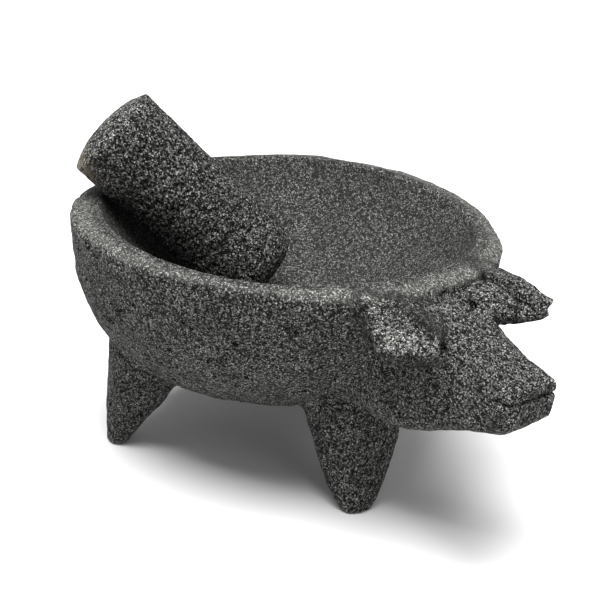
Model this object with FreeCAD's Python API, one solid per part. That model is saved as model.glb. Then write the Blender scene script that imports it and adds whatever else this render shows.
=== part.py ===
import FreeCAD
import Part

import math
import os

from FreeCAD import Vector

# A three-legged stone grinding mortar carved from one block, with an animal's head on its
# front, and the loose stone pestle that leans in it.
# Millimetres. +X points along the head, +Z is up, and the origin is on the floor midway
# between the three feet.

# Driving dimensions of the mortar's bowl. The mouth is hand cut: it is a little off the feet's
# centre and bulges over each leg.
RIM_RADIUS = 98.0            # outer edge of the mouth, on average
RIM_LOBE = 3.4               # it bulges this much more over the legs and less between them
RIM_HEIGHT = 118.0           # outer edge of the mouth above the floor
RIM_WIDTH = 12.0             # sloping band between the outer and inner edges
RIM_RISE = 3.0               # the inner edge stands this much higher than the outer one
MOUTH_OFFSET = Vector(2.6, 3.6, 0)
BELLY_DEPTH = 91.0           # outer edge of the mouth down to the underside of the bowl
BELLY_SET_BACK = 23.0        # the underside lies this far behind the feet's centre
BELLY_END_DEG = 78.0         # where the rounded underside ends in a flat
HOLLOW_OFFSET = Vector(4.0, 0.5, 0)
HOLLOW_MOUTH_RADIUS = 87.0
HOLLOW_DEPTH = 53.0          # inner edge of the mouth down to the grinding floor

# Legs: one under the head and two behind it, as name: (azimuth in degrees, foot's distance from
# the origin, width compared with the sections below, how far the top leans sideways)
LEGS = {
    "front": (-4.5, 71.5, 0.95, 7.0),
    "rear_left": (116.0, 73.0, 0.93, 0.0),
    "rear_right": (233.0, 72.5, 0.88, 0.0),
}
# height, how far the inner and outer faces lie from the foot's centre, half width
LEG_SECTIONS = [
    (0.0, -4.5, 4.5, 7.5),
    (9.0, -11.0, 5.0, 12.5),
    (22.0, -20.0, 5.0, 18.0),
    (40.0, -31.0, 5.0, 24.0),
    (60.0, -37.0, 5.0, 28.0),
]
LEG_SQUARENESS = 2.3

# Head: sections from the neck to the snout's end
# distance along +X, bottom height, top height, half width at the top and at the bottom
HEAD_SECTIONS = [
    (68.0, 53.0, 116.0, 28.0, 24.0),
    (84.0, 54.5, 117.0, 27.5, 24.0),
    (102.0, 56.0, 114.0, 26.0, 24.0),
    (122.0, 63.0, 108.0, 21.0, 20.0),
    (142.0, 71.0, 101.0, 16.5, 16.0),
    (157.0, 77.0, 97.0, 14.0, 11.5),
]
HEAD_SQUARENESS = 3.6

# Ears: leaf-shaped stubs that point forwards and outwards from the rim beside the head, as
# (distance along +X, distance out from the middle, height, half width across, half height)
EAR_SECTIONS = [
    (95.0, 18.0, 107.0, 15.0, 10.5),
    (115.0, 31.5, 108.5, 13.5, 8.0),
    (129.0, 40.5, 108.0, 5.0, 3.0),
]
EAR_SQUARENESS = 2.8

# Pestle: a stubby cylinder with a crowned grip end and a round-edged grinding end
PESTLE_RADIUS = 23.5
PESTLE_LENGTH = 106.5
PESTLE_WAIST = 0.8           # the sides are this much hollow at mid length
PESTLE_EDGE = 11.0           # rounding of the grinding end's edge
PESTLE_FOOT_CROWN = 3.0      # height of the crown on the grinding end
PESTLE_GRIP_CROWN = 5.5      # height of the crown on the grip end
PESTLE_LEAN_DEG = 41.0       # slope of its axis above the horizontal
PESTLE_HEADING_DEG = 228.0   # the way its grip end points
PESTLE_SIDESTEP = -9.0       # its axis passes this far beside the hollow's centre
REST_GAP = 0.35              # clearance left where the pestle rests on the stone

RING_POINTS = 16

HOLLOW_MOUTH_HEIGHT = RIM_HEIGHT + RIM_RISE
HOLLOW_RADIUS = (HOLLOW_MOUTH_RADIUS**2 + HOLLOW_DEPTH**2) / (2 * HOLLOW_DEPTH)
HOLLOW_CENTRE = HOLLOW_OFFSET + Vector(0, 0, HOLLOW_MOUTH_HEIGHT - HOLLOW_DEPTH + HOLLOW_RADIUS)


def ring(centre, across, upward, half_across, half_up, squareness=2.0, flare=0.0):
    """A closed smooth outline. squareness 2 is an ellipse, and more is squarer. flare widens
    the half that lies towards upward and narrows the other."""
    points = []
    for i in range(RING_POINTS):
        angle = 2 * math.pi * i / RING_POINTS
        c, s = math.cos(angle), math.sin(angle)
        reach = (abs(c) ** squareness + abs(s) ** squareness) ** (-1 / squareness)
        wide = half_across * (1 + flare * s * reach)
        points.append(centre + across * (wide * c * reach) + upward * (half_up * s * reach))
    curve = Part.BSplineCurve()
    curve.interpolate(Points=points, PeriodicFlag=True)
    return Part.Wire(curve.toShape())


def loft(rings):
    """A closed solid through the outlines."""
    return Part.makeLoft(rings, True, False)


def azimuth_vector(degrees):
    """The horizontal unit vector at an angle from +X."""
    return Vector(math.cos(math.radians(degrees)), math.sin(math.radians(degrees)), 0)


def mouth_ring(centre, radius, lobe):
    """A closed round outline that bulges by lobe over each of the three legs."""
    points = []
    for i in range(3 * RING_POINTS):
        angle = 360 * i / (3 * RING_POINTS)
        reach = radius + lobe * math.cos(math.radians(3 * angle))
        points.append(centre + azimuth_vector(angle) * reach)
    curve = Part.BSplineCurve()
    curve.interpolate(Points=points, PeriodicFlag=True)
    return Part.Wire(curve.toShape())


def bowl_blank():
    """The bowl's outside: a half ellipsoid whose lower part is set back from the head, trimmed
    above by the sloping band of the rim."""
    rings = []
    for angle_deg in (BELLY_END_DEG, 68, 56, 42, 28, 13, 0):
        depth = BELLY_DEPTH * math.sin(math.radians(angle_deg))
        width = math.cos(math.radians(angle_deg))
        low = (depth / BELLY_DEPTH) ** 2
        centre = MOUTH_OFFSET * (1 - low) + Vector(-BELLY_SET_BACK * low, 0, RIM_HEIGHT - depth)
        rings.append(mouth_ring(centre, RIM_RADIUS * width, RIM_LOBE * width))
    edge = MOUTH_OFFSET + Vector(0, 0, RIM_HEIGHT)
    brim = mouth_ring(edge + Vector(0, 0, 2 * RIM_RISE), RIM_RADIUS, RIM_LOBE)
    blank = loft(rings).fuse(Part.makeLoft([rings[-1], brim], True, True))
    floor = Vector(edge.x, edge.y, 0)
    trimmer = [
        mouth_ring(floor, RIM_RADIUS + RIM_WIDTH, RIM_LOBE),
        mouth_ring(edge - Vector(0, 0, RIM_RISE), RIM_RADIUS + RIM_WIDTH, RIM_LOBE),
        mouth_ring(edge + Vector(0, 0, 2 * RIM_RISE), RIM_RADIUS - 2 * RIM_WIDTH, RIM_LOBE),
    ]
    return blank.common(Part.makeLoft(trimmer, True, True))


def leg(azimuth_deg, distance, width, lean):
    """A wedge of a leg with an upright outer face, tapering to a small flat foot."""
    outward = azimuth_vector(azimuth_deg)
    sideways = azimuth_vector(azimuth_deg + 90)
    rings = []
    for height, inner, outer, half_width in LEG_SECTIONS:
        shift = sideways * (lean * height / LEG_SECTIONS[-1][0])
        centre = outward * (distance + (inner + outer) / 2) + shift + Vector(0, 0, height)
        half_reach = (outer - inner) / 2
        rings.append(ring(centre, sideways, outward, half_width * width, half_reach, LEG_SQUARENESS))
    return loft(rings)


def head():
    """The head: a blunt wedge from the neck to the snout."""
    rings = []
    for x, bottom, top, half_top, half_bottom in HEAD_SECTIONS:
        centre = Vector(x, 0, (bottom + top) / 2)
        half_mean = (half_top + half_bottom) / 2
        flare = (half_top - half_bottom) / (half_top + half_bottom)
        half_up = (top - bottom) / 2
        rings.append(
            ring(centre, Vector(0, 1, 0), Vector(0, 0, 1), half_mean, half_up, HEAD_SQUARENESS, flare)
        )
    return loft(rings)


def ear(side):
    """One ear. side is 1 for the animal's left and -1 for its right."""
    centres = [Vector(x, side * y, z) for x, y, z, _, _ in EAR_SECTIONS]
    along = (centres[-1] - centres[0]).normalize()
    across = along.cross(Vector(0, 0, 1)).normalize()
    upward = across.cross(along).normalize()
    rings = []
    for centre, (_, _, _, half_across, half_up) in zip(centres, EAR_SECTIONS):
        rings.append(ring(centre, across, upward, half_across, half_up, EAR_SQUARENESS))
    return loft(rings)


def mortar():
    """The whole mortar as one stone: bowl, legs, head and ears, hollowed from above."""
    pieces = [head(), ear(1), ear(-1)] + [leg(*values) for values in LEGS.values()]
    stone = bowl_blank().fuse(pieces)
    return stone.cut(Part.makeSphere(HOLLOW_RADIUS, HOLLOW_CENTRE)).removeSplitter()


def arc(start, middle, end):
    """An arc through three points in the XZ plane, each given as (radius, height)."""
    return Part.Arc(*(Vector(r, 0, h) for r, h in (start, middle, end))).toShape()


def crown_middle(radius, height):
    """How high a crown of that radius and height stands above its edge's plane, half way in."""
    curve = (radius**2 + height**2) / (2 * height)
    return math.sqrt(curve**2 - (radius / 2) ** 2) - (curve - height)


def pestle_upright():
    """The pestle standing on its grinding end, with its axis on +Z."""
    inner = PESTLE_RADIUS - PESTLE_EDGE
    low = PESTLE_FOOT_CROWN + PESTLE_EDGE
    foot_mid = PESTLE_FOOT_CROWN - crown_middle(inner, PESTLE_FOOT_CROWN)
    diagonal = PESTLE_EDGE * math.sqrt(0.5)
    top = PESTLE_LENGTH - PESTLE_GRIP_CROWN
    grip_mid = top + crown_middle(PESTLE_RADIUS, PESTLE_GRIP_CROWN)
    waist = PESTLE_RADIUS - PESTLE_WAIST
    outline = [
        arc((0, 0), (inner / 2, foot_mid), (inner, PESTLE_FOOT_CROWN)),
        arc((inner, PESTLE_FOOT_CROWN), (inner + diagonal, low - diagonal), (PESTLE_RADIUS, low)),
        arc((PESTLE_RADIUS, low), (waist, (low + top) / 2), (PESTLE_RADIUS, top)),
        arc((PESTLE_RADIUS, top), (PESTLE_RADIUS / 2, grip_mid), (0, PESTLE_LENGTH)),
        Part.LineSegment(Vector(0, 0, PESTLE_LENGTH), Vector(0, 0, 0)).toShape(),
    ]
    face = Part.Face(Part.Wire(outline))
    return face.revolve(Vector(0, 0, 0), Vector(0, 0, 1), 360)


def halve(measure, low, high):
    """Where between low and high the rising measure passes zero."""
    for _ in range(50):
        middle = (low + high) / 2
        if measure(middle) < 0:
            low = middle
        else:
            high = middle
    return (low + high) / 2


def pestle_rest(stone):
    """The pestle's axis where it rests on the rim's inner edge and the hollow's wall, as (centre
    of the grinding end, direction towards the grip end)."""
    lean = math.radians(PESTLE_LEAN_DEG)
    heading = azimuth_vector(PESTLE_HEADING_DEG)
    sideways = azimuth_vector(PESTLE_HEADING_DEG + 90)
    along = heading * math.cos(lean) + Vector(0, 0, math.sin(lean))
    mouth = HOLLOW_OFFSET + Vector(0, 0, HOLLOW_MOUTH_HEIGHT)
    brim = [e for e in stone.Edges if not e.Degenerated and e.BoundBox.ZMin > RIM_HEIGHT + 1]
    edge = [point for outline in brim for point in outline.discretize(300)]

    def clear_of_rim(height):
        """How far the side of the pestle stands off the rim with its axis at this height."""
        start = mouth + sideways * PESTLE_SIDESTEP + Vector(0, 0, height)
        near = min((p - start).cross(along).Length for p in edge if (p - start).dot(heading) > 0)
        return near - PESTLE_RADIUS - REST_GAP

    start = mouth + sideways * PESTLE_SIDESTEP + Vector(0, 0, halve(clear_of_rim, -90, 60))
    across = along.cross(sideways)
    inner = PESTLE_RADIUS - PESTLE_EDGE
    reach = HOLLOW_RADIUS - PESTLE_EDGE - REST_GAP

    def past_wall(slide):
        """How far the grinding end's rounding goes past the hollow's wall after this slide."""
        centre = start - along * slide
        far = 0
        for step in range(360):
            angle = math.radians(step)
            point = centre + (sideways * math.cos(angle) + across * math.sin(angle)) * inner
            far = max(far, (point - HOLLOW_CENTRE).Length)
        return far - reach

    slide = halve(past_wall, -60, 120)
    return start - along * (slide + PESTLE_FOOT_CROWN + PESTLE_EDGE), along


def pestle(stone):
    """The pestle leaning in the bowl of the stone."""
    body = pestle_upright()
    foot, along = pestle_rest(stone)
    body.Placement = FreeCAD.Placement(foot, FreeCAD.Rotation(Vector(0, 0, 1), along))
    return body


def report(name, shape):
    """Prints a part's size, volume and soundness."""
    box = shape.optimalBoundingBox(True, False)
    print(
        f"{name}: valid {shape.isValid()}, solids {len(shape.Solids)}, {shape.Volume / 1000:.1f} cm3, "
        f"x {box.XMin:.1f} to {box.XMax:.1f}, y {box.YMin:.1f} to {box.YMax:.1f}, "
        f"z {box.ZMin:.2f} to {box.ZMax:.1f}"
    )


def main():
    os.makedirs("parts", exist_ok=True)
    stone = mortar()
    parts = {"mortar": stone, "tejolote": pestle(stone)}
    for name, shape in parts.items():
        report(name, shape)
        shape.exportStep(f"parts/{name}.step")
    gap = stone.distToShape(parts["tejolote"])[0]
    print(f"smallest gap between the pestle and the mortar: {gap:.2f} mm")


main()
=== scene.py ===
import math

import bmesh
import bpy
import numpy as np
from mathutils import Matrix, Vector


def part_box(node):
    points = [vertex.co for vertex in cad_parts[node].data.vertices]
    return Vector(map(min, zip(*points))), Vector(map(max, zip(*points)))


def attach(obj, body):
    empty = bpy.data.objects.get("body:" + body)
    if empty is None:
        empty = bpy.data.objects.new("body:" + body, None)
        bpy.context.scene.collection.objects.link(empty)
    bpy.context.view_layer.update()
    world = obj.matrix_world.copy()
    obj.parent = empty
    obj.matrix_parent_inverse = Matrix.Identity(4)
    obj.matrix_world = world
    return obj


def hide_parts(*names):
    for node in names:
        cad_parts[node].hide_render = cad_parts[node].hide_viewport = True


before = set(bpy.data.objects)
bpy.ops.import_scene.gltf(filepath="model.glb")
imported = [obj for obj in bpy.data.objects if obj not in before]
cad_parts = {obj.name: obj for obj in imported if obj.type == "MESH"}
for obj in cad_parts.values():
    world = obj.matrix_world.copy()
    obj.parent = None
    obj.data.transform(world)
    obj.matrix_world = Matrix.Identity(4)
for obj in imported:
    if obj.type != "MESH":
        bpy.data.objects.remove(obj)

import openvdb
from mathutils import Matrix, Vector

# A grinding mortar carved from one block of volcanic rock, and its loose pestle. Each CAD solid
# is turned into a volume of signed distances. There its edges are softened, the mortar's face is
# carved and the stone is roughened, and then it is turned back into a surface. Metres, unless a
# name or a comment says mm, in the CAD's frame: +X is the way the head points and +Z is up.

MM = 0.001
for name in ("Cube", "Light", "Camera"):
    if name in bpy.data.objects:
        bpy.data.objects.remove(bpy.data.objects[name])
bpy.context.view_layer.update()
SEED = 41

# The bowl, as the CAD has it. RIM_HEIGHT is a little under the outer edge of the mouth.
RIM_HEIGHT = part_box("mortar")[1].z - 3.5 * MM
RIM_REACH = 101 * MM
MOUTH_CENTRE = Vector((2.6, 3.6, 0)) * MM
HOLLOW_CENTRE = Vector((4.0, 0.5, 165.9)) * MM
HOLLOW_RADIUS = 97.9 * MM

# The face. The chin is cut off by a slope at 45 degrees. The nostrils and the eyes are placed
# in mm from the middle of the snout's end: along X, out to each side, and up.
SNOUT_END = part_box("mortar")[1].x
SNOUT_MIDDLE_Z = 87 * MM
CHIN_REACH = 54.4 * MM
LIPS_Z = SNOUT_MIDDLE_Z + 3 * MM
LIPS_HALF_WIDTH = 0.9 * MM
LIPS_LENGTH = 8 * MM
LIPS_DEPTH = 2.2 * MM
NOSTRIL = (0, 5.5, 8.5)
NOSTRIL_RADIUS = 2.4 * MM
EYE = (-35, 19, 15)
EYE_RADIUS = 3.2 * MM

# The ears, where side is -1 for the one towards -Y and 1 for the other. The CAD's ear is trimmed
# beyond EAR_TIP_FROM, so that only the block is left there. A groove round the mouth's centre
# parts the ear from the rim, and two straight grooves, in mm, part it from the head.
EAR_TRIM_ABOVE = 100 * MM
EAR_TIP_FROM = {-1: 29 * MM, 1: 24 * MM}
RIM_GROOVE_REACH = 100.5 * MM
RIM_GROOVE_HALF_WIDTH = 1.0 * MM
RIM_GROOVE_DEPTH = 5 * MM
RIM_GROOVE_END = 44 * MM
EAR_GROOVES = [((105, 6, 115.5), (122, 20.5, 101)), ((103, 28, 95), (121, 24, 98.5))]
EAR_GROOVE_RADIUS = 1.5 * MM

# Corners of the block that each ear is carved to, in mm, from its top down to its underside.
# The ear on the -Y side droops as a flat panel; the other stands level.
EARS = {
    -1: [
        (93, -36, 118), (113, -13, 118), (132, -30, 107), (126, -41, 106), (113, -48, 105),
        (129, -28, 101), (123, -38, 100), (110, -45, 99), (98, -27, 98), (111, -22, 98),
    ],
    1: [
        (92, 32, 118), (97, 40, 118), (112, 41, 117.5), (128.5, 41.5, 113.5),
        (113, 33, 117), (128, 38, 112.5), (113, 47, 108), (92, 36, 104), (111, 44, 100),
        (128, 41, 105), (127, 36, 104.5), (119, 29, 101.5), (111, 27, 97), (98, 27, 98),
    ],
}

MORTAR_VOXEL = 1.4 * MM
PESTLE_VOXEL = 0.62 * MM
BAND_VOXELS = 12

# Bumps as (height, size) in mm, and how much less of them the worn places have
MORTAR_BUMPS = [(0.45, 30), (0.14, 9), (0.15, 3.0)]
PESTLE_BUMPS = [(0.18, 22), (0.07, 5), (0.08, 2.0)]
BOWL_SMOOTHNESS = 0.72
RIM_SMOOTHNESS = 0.45


# ---------------------------------------------------------------- volumes

class Volume:
    """Signed distances to a surface on a grid of cubes, negative inside the stone."""

    def __init__(self, node, voxel):
        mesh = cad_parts[node].data
        mesh.calc_loop_triangles()
        points = np.empty(len(mesh.vertices) * 3, np.float32)
        mesh.vertices.foreach_get("co", points)
        corners = np.empty(len(mesh.loop_triangles) * 3, np.int32)
        mesh.loop_triangles.foreach_get("vertices", corners)
        grid = openvdb.FloatGrid.createLevelSetFromPolygons(
            points.reshape(-1, 3),
            triangles=corners.reshape(-1, 3).astype(np.uint32),
            transform=openvdb.createLinearTransform(voxelSize=voxel),
            halfWidth=BAND_VOXELS,
        )
        low, high = grid.evalActiveVoxelBoundingBox()
        self.voxel = voxel
        self.low = low
        self.field = np.zeros([high[i] - low[i] + 1 for i in range(3)], np.float32)
        grid.copyToArray(self.field, ijk=low)
        axes = [(np.arange(n) + low[i]) * voxel for i, n in enumerate(self.field.shape)]
        self.x, self.y, self.z = np.meshgrid(*axes, indexing="ij", sparse=True)

    def smoothed(self, field, size):
        """The field blurred by a Gaussian of that size."""
        spectrum = np.fft.rfftn(field)
        for axis, count in enumerate(field.shape):
            last = axis == field.ndim - 1
            waves = np.fft.rfftfreq(count) if last else np.fft.fftfreq(count)
            falloff = np.exp(-2 * (math.pi * waves * size / self.voxel) ** 2)
            shape = [1, 1, 1]
            shape[axis] = len(falloff)
            spectrum *= falloff.reshape(shape)
        return np.fft.irfftn(spectrum, s=field.shape).astype(np.float32)

    def bumps(self, size, seed):
        """Smooth random bumps of about that size, with a spread of 1."""
        white = np.random.default_rng(seed).standard_normal(self.field.shape, dtype=np.float32)
        soft = self.smoothed(white, size * 0.35)
        return soft / soft.std()

    def cut(self, cutter):
        """Takes away what lies inside the cutter, which is negative inside."""
        self.field = np.maximum(self.field, -cutter)

    def pits(self, count, radii, where, seed, depth=0.55):
        """Opens round pores of random size at random places on the surface."""
        rng = np.random.default_rng(seed)
        near = np.argwhere((np.abs(self.field) < 0.6 * self.voxel) & where)
        chosen = near[rng.choice(len(near), count, replace=False)]
        sizes = rng.uniform(*radii, count)
        for spot, radius in zip(chosen, sizes):
            reach = int(radius / self.voxel) + 2
            window = tuple(slice(max(c - reach, 0), c + reach + 1) for c in spot)
            offsets = [
                (np.arange(s.start, min(s.stop, n)) - c) * self.voxel
                for s, n, c in zip(window, self.field.shape, spot)
            ]
            dx, dy, dz = np.meshgrid(*offsets, indexing="ij")
            ball = np.sqrt(dx**2 + dy**2 + dz**2) - radius
            deep_enough = -self.field[window] - 2 * depth * radius
            self.field[window] = np.maximum(self.field[window], -np.maximum(ball, deep_enough))

    def at(self, field, points):
        """The field's values at points of the stone."""
        spots = np.rint(points / self.voxel).astype(int) - np.array(self.low)
        spots = np.clip(spots, 0, np.array(field.shape) - 1)
        return field[spots[:, 0], spots[:, 1], spots[:, 2]]

    def surface(self, name):
        """The surface as a smooth-shaded mesh object, and its points."""
        grid = openvdb.FloatGrid(float(self.field.max()))
        grid.transform = openvdb.createLinearTransform(voxelSize=self.voxel)
        grid.copyFromArray(self.field, ijk=self.low)
        points, quads = grid.convertToQuads(isovalue=0.0)
        mesh = bpy.data.meshes.new(name)
        mesh.vertices.add(len(points))
        mesh.vertices.foreach_set("co", points.astype(np.float32).ravel())
        mesh.loops.add(quads.size)
        mesh.loops.foreach_set("vertex_index", quads.astype(np.int32).ravel())
        mesh.polygons.add(len(quads))
        mesh.polygons.foreach_set("loop_start", np.arange(0, quads.size, 4, dtype=np.int32))
        mesh.update(calc_edges=True)
        mesh.validate()
        mesh.shade_smooth()
        piece = bpy.data.objects.new(name, mesh)
        bpy.context.scene.collection.objects.link(piece)
        return piece, points


def attribute(piece, name, values):
    """Stores one number a point for a material to read."""
    layer = piece.data.attributes.new(name, "FLOAT", "POINT")
    layer.data.foreach_set("value", np.clip(values, 0, 1).astype(np.float32))


def ramp(values, start, end):
    """0 at start and before, 1 at end and beyond, smooth between."""
    t = np.clip((values - start) / (end - start), 0, 1)
    return t * t * (3 - 2 * t)


# ---------------------------------------------------------------- the mortar

def carve_face(stone, skin, from_mouth):
    """Squares the animal's ears and cuts its chin, mouth, nostrils and eyes. skin is the field
    before it was softened, and from_mouth the distance from the mouth's centre line."""
    for side in (-1, 1):
        ear = hull(stone, EARS[side])
        above = np.maximum(EAR_TRIM_ABOVE - stone.x, EAR_TRIM_ABOVE - stone.z)
        tip = np.maximum(EAR_TIP_FROM[side] - side * stone.y, above)
        stone.cut(np.maximum(tip, -ear))
        stone.field = np.minimum(stone.field, ear)
        groove = np.abs(from_mouth - RIM_GROOVE_REACH) - RIM_GROOVE_HALF_WIDTH
        within = np.maximum(-side * stone.y, side * stone.y - RIM_GROOVE_END)
        deep = RIM_HEIGHT - RIM_GROOVE_DEPTH - stone.z
        stone.cut(np.maximum(np.maximum(groove, within), deep))
        for start, end in EAR_GROOVES:
            line = [Vector((x, side * y, z)) * MM for x, y, z in (start, end)]
            stone.cut(rod(stone, *line, EAR_GROOVE_RADIUS))
    stone.cut(CHIN_REACH - (stone.x - stone.z) / math.sqrt(2))
    lips = np.abs(stone.z - LIPS_Z) - LIPS_HALF_WIDTH
    mouth = np.maximum(lips, SNOUT_END - LIPS_LENGTH - stone.x)
    stone.cut(np.maximum(mouth, -skin - LIPS_DEPTH))
    for side in (-1, 1):
        for (along, out, up), radius in ((NOSTRIL, NOSTRIL_RADIUS), (EYE, EYE_RADIUS)):
            place = Vector((SNOUT_END + along * MM, side * out * MM, SNOUT_MIDDLE_Z + up * MM))
            stone.cut(ball(stone, place, radius))


def hull(stone, corners):
    """Distances from the faces of the convex block with those corners."""
    block = bmesh.new()
    for corner in corners:
        block.verts.new(Vector(corner) * MM)
    bmesh.ops.convex_hull(block, input=block.verts)
    middle = sum((Vector(corner) for corner in corners), Vector()) * MM / len(corners)
    field = np.full(stone.field.shape, -1, np.float32)
    for face in block.faces:
        out = face.normal if face.normal.dot(face.verts[0].co - middle) > 0 else -face.normal
        reach = out.dot(face.verts[0].co)
        field = np.maximum(field, out.x * stone.x + out.y * stone.y + out.z * stone.z - reach)
    block.free()
    return field


def rod(stone, start, end, radius):
    """Distances from the surface of a round rod between two points."""
    way = end - start
    offset = (stone.x - start.x, stone.y - start.y, stone.z - start.z)
    along = sum(o * w for o, w in zip(offset, way)) / way.length_squared
    along = np.clip(along, 0, 1)
    return np.sqrt(sum((o - along * w) ** 2 for o, w in zip(offset, way))) - radius


def ball(stone, centre, radius):
    """Distances from a ball's surface on the stone's grid."""
    square = (stone.x - centre.x) ** 2 + (stone.y - centre.y) ** 2 + (stone.z - centre.z) ** 2
    return np.sqrt(square) - radius


def make_mortar():
    """The mortar's stone, with what its material reads stored on its points."""
    stone = Volume("mortar", MORTAR_VOXEL)
    crisp = stone.smoothed(stone.field, 0.6 * MM) - 0.35 * MM
    soft = stone.smoothed(stone.field, 2.2 * MM)
    in_bowl = 1 - ramp(np.abs(ball(stone, HOLLOW_CENTRE, HOLLOW_RADIUS)), 2.5 * MM, 5 * MM)
    from_mouth = np.hypot(stone.x - MOUTH_CENTRE.x, stone.y - MOUTH_CENTRE.y)
    on_rim = ramp(stone.z, RIM_HEIGHT - 3 * MM, RIM_HEIGHT - 1 * MM) * (1 - in_bowl)
    on_rim = on_rim * (1 - ramp(from_mouth, RIM_REACH - 1 * MM, RIM_REACH + 1 * MM))
    skin = stone.field.copy()
    # hollow corners are filled by the softer blur, and outer edges keep the crisper one
    stone.field = np.minimum(crisp, soft)
    carve_face(stone, skin, from_mouth)

    standing = ramp(stone.z, 1 * MM, 6 * MM)
    rough = (1 - BOWL_SMOOTHNESS * in_bowl - RIM_SMOOTHNESS * on_rim * (1 - in_bowl)) * standing
    stone.field += rough * sum(
        height * MM * stone.bumps(size * MM, SEED + i)
        for i, (height, size) in enumerate(MORTAR_BUMPS)
    )
    outside = np.broadcast_to((in_bowl < 0.5) & (stone.z > 4 * MM), stone.field.shape)
    stone.pits(count=900, radii=(1.1 * MM, 2.1 * MM), where=outside, seed=SEED + 3)
    # nothing goes below the floor
    stone.cut(np.broadcast_to(stone.z, stone.field.shape))

    piece, points = stone.surface("mortar_stone")
    ridge = stone.at(soft - crisp, points)
    bowl_at = stone.at(np.broadcast_to(in_bowl, crisp.shape), points)
    ears = np.minimum(hull(stone, EARS[-1]), hull(stone, EARS[1]))
    from_ear = stone.at(ears, points)
    ear_skin = np.abs(from_ear)
    height = points[:, 2]
    # painted highlight on the ears' tops, which face the light
    ear_top_highlight = (1 - ramp(ear_skin, 1.0 * MM, 2.5 * MM)) * ramp(height, 102 * MM, 106 * MM)
    # painted shade: just beside each ear block, and on the ears' undersides
    shade_beside_ear = ramp(from_ear, 0.8 * MM, 1.4 * MM) * (1 - ramp(from_ear, 4.0 * MM, 8.0 * MM))
    shade_under_ear = (1 - ramp(ear_skin, 1.0 * MM, 2.0 * MM)) * (1 - ramp(height, 103.5 * MM, 106 * MM))
    rim_at = stone.at(np.broadcast_to(on_rim, crisp.shape), points)
    # edges and rim painted lighter as wear and painted highlight; ear tops as painted highlight
    attribute(piece, "wear_and_highlight", ramp(ridge, 0.5 * MM, 1.1 * MM) + 0.8 * rim_at + 0.25 * ear_top_highlight)
    # painted shade: hollow seams and the stone beside and under the ears are painted darker
    attribute(piece, "painted_shade", ramp(-ridge, 0.0 * MM, 1.2 * MM) + shade_beside_ear + 0.8 * shade_under_ear)
    attribute(piece, "ground", bowl_at)
    # the rim band is painted paler, partly as wear and partly as painted highlight
    attribute(piece, "rim_wear_and_highlight", rim_at)
    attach(piece, "mortar")
    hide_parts("mortar")
    return piece


# ---------------------------------------------------------------- the pestle

def make_pestle():
    """The pestle's stone: its grip end gets a painted highlight, and its lower side there is stained.
    """
    stone = Volume("tejolote", PESTLE_VOXEL)
    stone.field = stone.smoothed(stone.field, 0.5 * MM)
    for i, (height, size) in enumerate(PESTLE_BUMPS):
        stone.field += height * MM * stone.bumps(size * MM, SEED + 10 + i)
    everywhere = np.ones(stone.field.shape, bool)
    stone.pits(count=1600, radii=(0.6 * MM, 1.15 * MM), where=everywhere, seed=SEED + 13)
    piece, points = stone.surface("tejolote_stone")
    along = pestle_axis()
    reach = points @ np.array(along)
    grip_end = reach.max()
    # painted highlight: the last few mm of the grip end, which faces the light, are painted paler
    grip_highlight = ramp(reach, grip_end - 9 * MM, grip_end - 5 * MM)
    attribute(piece, "wear_and_highlight", grip_highlight)
    side = Vector((0, 0, 1)).cross(along).normalized()
    down = side.cross(along).normalized()
    across = points @ np.array(down)
    edge = across[grip_highlight > 0.5].max()
    stained = ramp(reach, grip_end - 22 * MM, grip_end - 5 * MM)
    attribute(piece, "stained", stained * ramp(across, edge - 16 * MM, edge - 2 * MM))
    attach(piece, "tejolote")
    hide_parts("tejolote")
    return piece


def pestle_axis():
    """The way from the pestle's grinding end to its grip end, its longest direction."""
    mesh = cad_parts["tejolote"].data
    points = np.array([v.co for v in mesh.vertices])
    triangles = [t.vertices for t in mesh.loop_triangles]
    corners = points[np.array(triangles)]
    sides = corners[:, 1:] - corners[:, :1]
    areas = np.linalg.norm(np.cross(sides[:, 0], sides[:, 1]), axis=1)
    middles = corners.mean(axis=1)
    centre = np.average(middles, axis=0, weights=areas)
    spread = np.cov((middles - centre).T, aweights=areas)
    axis = Vector(np.linalg.eigh(spread)[1][:, 2])
    return axis if axis.z > 0 else -axis


# ---------------------------------------------------------------- materials

MORTAR_GREY = (0.027, 0.0273, 0.0259)
MORTAR_CRYSTAL = (0.22, 0.22, 0.207)
PESTLE_GREY = (0.029, 0.0293, 0.0281)
PESTLE_CRYSTAL = (0.24, 0.24, 0.225)
# black of the painted shade inside pores
PORE_SHADE_BLACK = (0.001, 0.001, 0.001)
BOWL_GREY = (0.028, 0.028, 0.0265)
# the rim's paler tint: partly wear, partly painted highlight
RIM_PALE_WEAR_AND_HIGHLIGHT = (0.15, 0.15, 0.14)
# colour of the painted shade in hollows and beside and under the ears
PAINTED_SHADE_DARK = (0.006, 0.006, 0.006)
STAIN_TAN = (0.24, 0.20, 0.14)
DARKEST_GROUND = 0.12
LIGHTEST_GROUND = 2.6
# how much lighter wear and painted highlight make the stone
WEAR_AND_HIGHLIGHT_LIGHTER = 0.45


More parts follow.
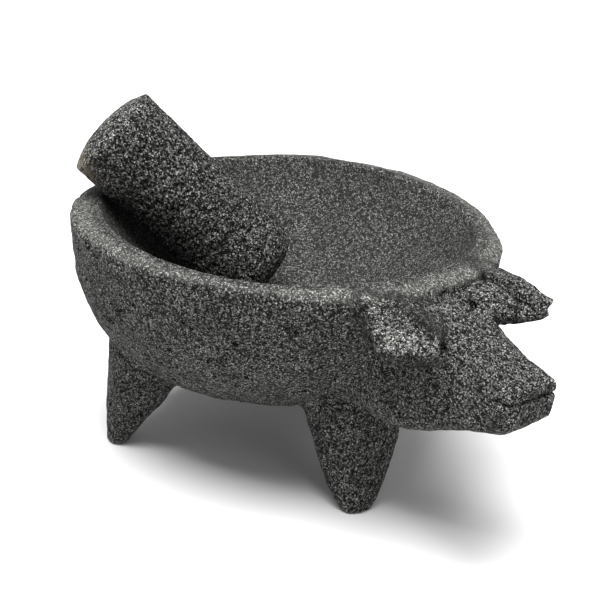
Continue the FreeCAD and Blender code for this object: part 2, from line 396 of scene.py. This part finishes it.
class Shader:
    """A material's node tree, with short calls to add to it."""

    def __init__(self, name):
        self.material = bpy.data.materials.new(name)
        self.material.use_nodes = True
        self.tree = self.material.node_tree
        self.tree.nodes.clear()
        self.coords = self.add("ShaderNodeTexCoord").outputs["Object"]

    def add(self, kind, **values):
        """A new node with those settings."""
        node = self.tree.nodes.new(kind)
        for key, value in values.items():
            setattr(node, key, value)
        return node

    def link(self, source, target):
        """Joins an output to an input."""
        self.tree.links.new(source, target)

    def put(self, value, socket):
        """Sets a socket to a number, or links it."""
        if isinstance(value, bpy.types.NodeSocket):
            self.link(value, socket)
        else:
            socket.default_value = value

    def noise(self, size, detail=2.0, roughness=0.5, seed=0.0):
        """Noise whose blobs are about that size, from 0 to 1."""
        node = self.add("ShaderNodeTexNoise", noise_dimensions="4D")
        self.link(self.coords, node.inputs["Vector"])
        node.inputs["Scale"].default_value = 1 / size
        node.inputs["Detail"].default_value = detail
        node.inputs["Roughness"].default_value = roughness
        node.inputs["W"].default_value = seed
        return node.outputs["Fac"]

    def step(self, value, start, end, low=0.0, high=1.0):
        """Maps start..end to low..high smoothly."""
        node = self.add("ShaderNodeMapRange", interpolation_type="SMOOTHSTEP")
        self.link(value, node.inputs["Value"])
        for key, number in (("From Min", start), ("From Max", end), ("To Min", low), ("To Max", high)):
            node.inputs[key].default_value = number
        return node.outputs["Result"]

    def math(self, operation, a, b=0.0):
        """The result of an operation on one or two numbers."""
        node = self.add("ShaderNodeMath", operation=operation)
        self.put(a, node.inputs[0])
        self.put(b, node.inputs[1])
        return node.outputs[0]

    def mix(self, amount, a, b, blend="MIX"):
        """Mixes two colours."""
        node = self.add("ShaderNodeMix", data_type="RGBA", blend_type=blend)
        self.put(amount, node.inputs["Factor"])
        for value, socket in ((a, node.inputs[6]), (b, node.inputs[7])):
            if isinstance(value, bpy.types.NodeSocket):
                self.link(value, socket)
            else:
                socket.default_value = (*value, 1.0)
        return node.outputs[2]

    def point(self, name):
        """A number stored on the mesh."""
        return self.add("ShaderNodeAttribute", attribute_name=name).outputs["Fac"]


def stone_material(name, grain, base, light, pores, masks):
    """Pitted volcanic rock: pale crystals and black pores in a grey ground; the pores' black is
    painted shade inside them. grain is the size of its blobs, pores is how many more are open, and
    masks lists (what is stored on the points, how much of the tint it brings, the tint)."""
    s = Shader(name)
    ground = s.noise(1.0 * grain, detail=2.0, roughness=0.6, seed=1.0)
    crystal = s.step(s.noise(0.68 * grain, detail=1.0, seed=2.0), 0.54, 0.66)
    patch = s.noise(14 * grain, detail=3.0, roughness=0.55, seed=3.0)
    wide = s.noise(1.6 * grain, detail=2.0, roughness=0.6, seed=4.0)
    fine = s.noise(0.9 * grain, detail=1.0, seed=5.0)
    hole = s.step(wide, 0.44 + pores, 0.36 + pores)
    pin = s.step(fine, 0.44 + pores, 0.37 + pores)
    shaded_pores = s.math("MAXIMUM", hole, pin)
    darkest, lightest = (tuple(k * c for c in base) for k in (DARKEST_GROUND, LIGHTEST_GROUND))
    colour = s.mix(s.step(ground, 0.36, 0.64), darkest, lightest)
    colour = s.mix(crystal, colour, light)
    # painted shade: the pores are painted black for the shade inside holes too small to carve
    colour = s.mix(shaded_pores, colour, PORE_SHADE_BLACK)
    shade = s.step(patch, 0.3, 0.7, low=0.84, high=1.16)
    # painted lighter where wear and painted highlight are stored
    wear_and_highlight = s.math("ADD", s.math("MULTIPLY", s.point("wear_and_highlight"), WEAR_AND_HIGHLIGHT_LIGHTER), 1.0)
    shade = s.math("MULTIPLY", shade, wear_and_highlight)
    tone = s.add("ShaderNodeCombineColor")
    for key in ("Red", "Green", "Blue"):
        s.link(shade, tone.inputs[key])
    colour = s.mix(1.0, colour, tone.outputs[0], "MULTIPLY")
    for mask, amount, tint in masks:
        colour = s.mix(s.math("MULTIPLY", s.point(mask), amount), colour, tint)
    height = s.math("SUBTRACT", ground, s.math("MULTIPLY", shaded_pores, 0.6))
    bump = s.add("ShaderNodeBump")
    bump.inputs["Strength"].default_value = 1.0
    bump.inputs["Distance"].default_value = 0.75 * grain
    s.link(height, bump.inputs["Height"])
    shader = s.add("ShaderNodeBsdfPrincipled")
    s.link(colour, shader.inputs["Base Color"])
    s.link(s.step(ground, 0.35, 0.65, low=0.95, high=0.78), shader.inputs["Roughness"])
    shader.inputs["Specular IOR Level"].default_value = 0.15
    s.link(bump.outputs["Normal"], shader.inputs["Normal"])
    output = s.add("ShaderNodeOutputMaterial")
    s.link(shader.outputs[0], output.inputs["Surface"])
    return s.material


mortar = make_mortar()
# its rim band is painted paler, partly as wear and partly as painted highlight
mortar.data.materials.append(stone_material(
    "mortar_stone", 0.98 * MM, MORTAR_GREY, MORTAR_CRYSTAL, pores=0.025,
    # the last mask paints shade dark in hollows and beside and under the ears
    masks=[("ground", 0.35, BOWL_GREY), ("rim_wear_and_highlight", 0.22, RIM_PALE_WEAR_AND_HIGHLIGHT), ("painted_shade", 0.65, PAINTED_SHADE_DARK)],
))
pestle = make_pestle()
pestle.data.materials.append(stone_material(
    "pestle_stone", 1.05 * MM, PESTLE_GREY, PESTLE_CRYSTAL, pores=0.04,
    masks=[("stained", 0.36, STAIN_TAN)],
))


# ---------------------------------------------------------------- floor, light and camera

VIEW_AZIMUTH = math.radians(47)
VIEW_ELEVATION = math.radians(22.1)
VIEW_ROLL = math.radians(4.81)
VIEW_DISTANCE = 0.708
VIEW_AIM = Vector((7.4, 8.0, 77.3)) * MM
LENS = 90.0
FLOOR_HALF = 6.0
FLOOR_GREY = (0.6, 0.6, 0.6)
SKY_STRENGTH = 0.4


def plain_material(name, colour, roughness):
    """A material of one colour."""
    material = bpy.data.materials.new(name)
    material.use_nodes = True
    shader = material.node_tree.nodes["Principled BSDF"]
    shader.inputs["Base Color"].default_value = (*colour, 1)
    shader.inputs["Roughness"].default_value = roughness
    return material


def make_floor():
    """A square floor at Z = 0, which isn't a piece of the object."""
    mesh = bpy.data.meshes.new("floor")
    signs = ((-1, -1), (1, -1), (1, 1), (-1, 1))
    corners = [(x * FLOOR_HALF, y * FLOOR_HALF, 0) for x, y in signs]
    mesh.from_pydata(corners, [], [(0, 1, 2, 3)])
    floor = bpy.data.objects.new("floor", mesh)
    bpy.context.scene.collection.objects.link(floor)
    mesh.materials.append(plain_material("floor", FLOOR_GREY, roughness=0.7))


def add_light(name, azimuth_deg, elevation_deg, distance, size, power):
    """A square soft light that looks at the object, placed as seen from the camera's side."""
    turn = VIEW_AZIMUTH + math.radians(azimuth_deg)
    rise = math.radians(elevation_deg)
    level = Vector((math.sin(turn), -math.cos(turn), 0)) * math.cos(rise)
    way = level + Vector((0, 0, math.sin(rise)))
    data = bpy.data.lights.new(name, "AREA")
    data.size = size
    data.energy = power
    lamp = bpy.data.objects.new(name, data)
    lamp.location = VIEW_AIM + way * distance
    lamp.rotation_euler = way.to_track_quat("Z", "Y").to_euler()
    bpy.context.scene.collection.objects.link(lamp)


def make_camera():
    """The camera, rolled a little about the line that it looks along."""
    look = Vector((
        -math.sin(VIEW_AZIMUTH) * math.cos(VIEW_ELEVATION),
        math.cos(VIEW_AZIMUTH) * math.cos(VIEW_ELEVATION),
        -math.sin(VIEW_ELEVATION),
    ))
    right = look.cross(Vector((0, 0, 1))).normalized()
    up = right.cross(look)
    tilted_right = right * math.cos(VIEW_ROLL) + up * math.sin(VIEW_ROLL)
    tilted_up = tilted_right.cross(look)
    data = bpy.data.cameras.new("camera")
    data.lens = LENS
    data.sensor_width = 36.0
    camera = bpy.data.objects.new("camera", data)
    place = Matrix((tilted_right, tilted_up, -look)).transposed().to_4x4()
    place.translation = VIEW_AIM - look * VIEW_DISTANCE
    camera.matrix_world = place
    bpy.context.scene.collection.objects.link(camera)
    bpy.context.scene.camera = camera


def make_sky():
    """An even white light from all round."""
    world = bpy.data.worlds.new("sky")
    world.use_nodes = True
    background = world.node_tree.nodes["Background"]
    background.inputs["Color"].default_value = (1, 1, 1, 1)
    background.inputs["Strength"].default_value = SKY_STRENGTH
    bpy.context.scene.world = world


make_floor()
add_light("overhead", azimuth_deg=-25, elevation_deg=74, distance=3.0, size=2.0, power=290)
add_light("fill", azimuth_deg=40, elevation_deg=30, distance=1.6, size=1.2, power=6)
make_sky()
make_camera()
bpy.context.scene.view_settings.view_transform = "Standard"
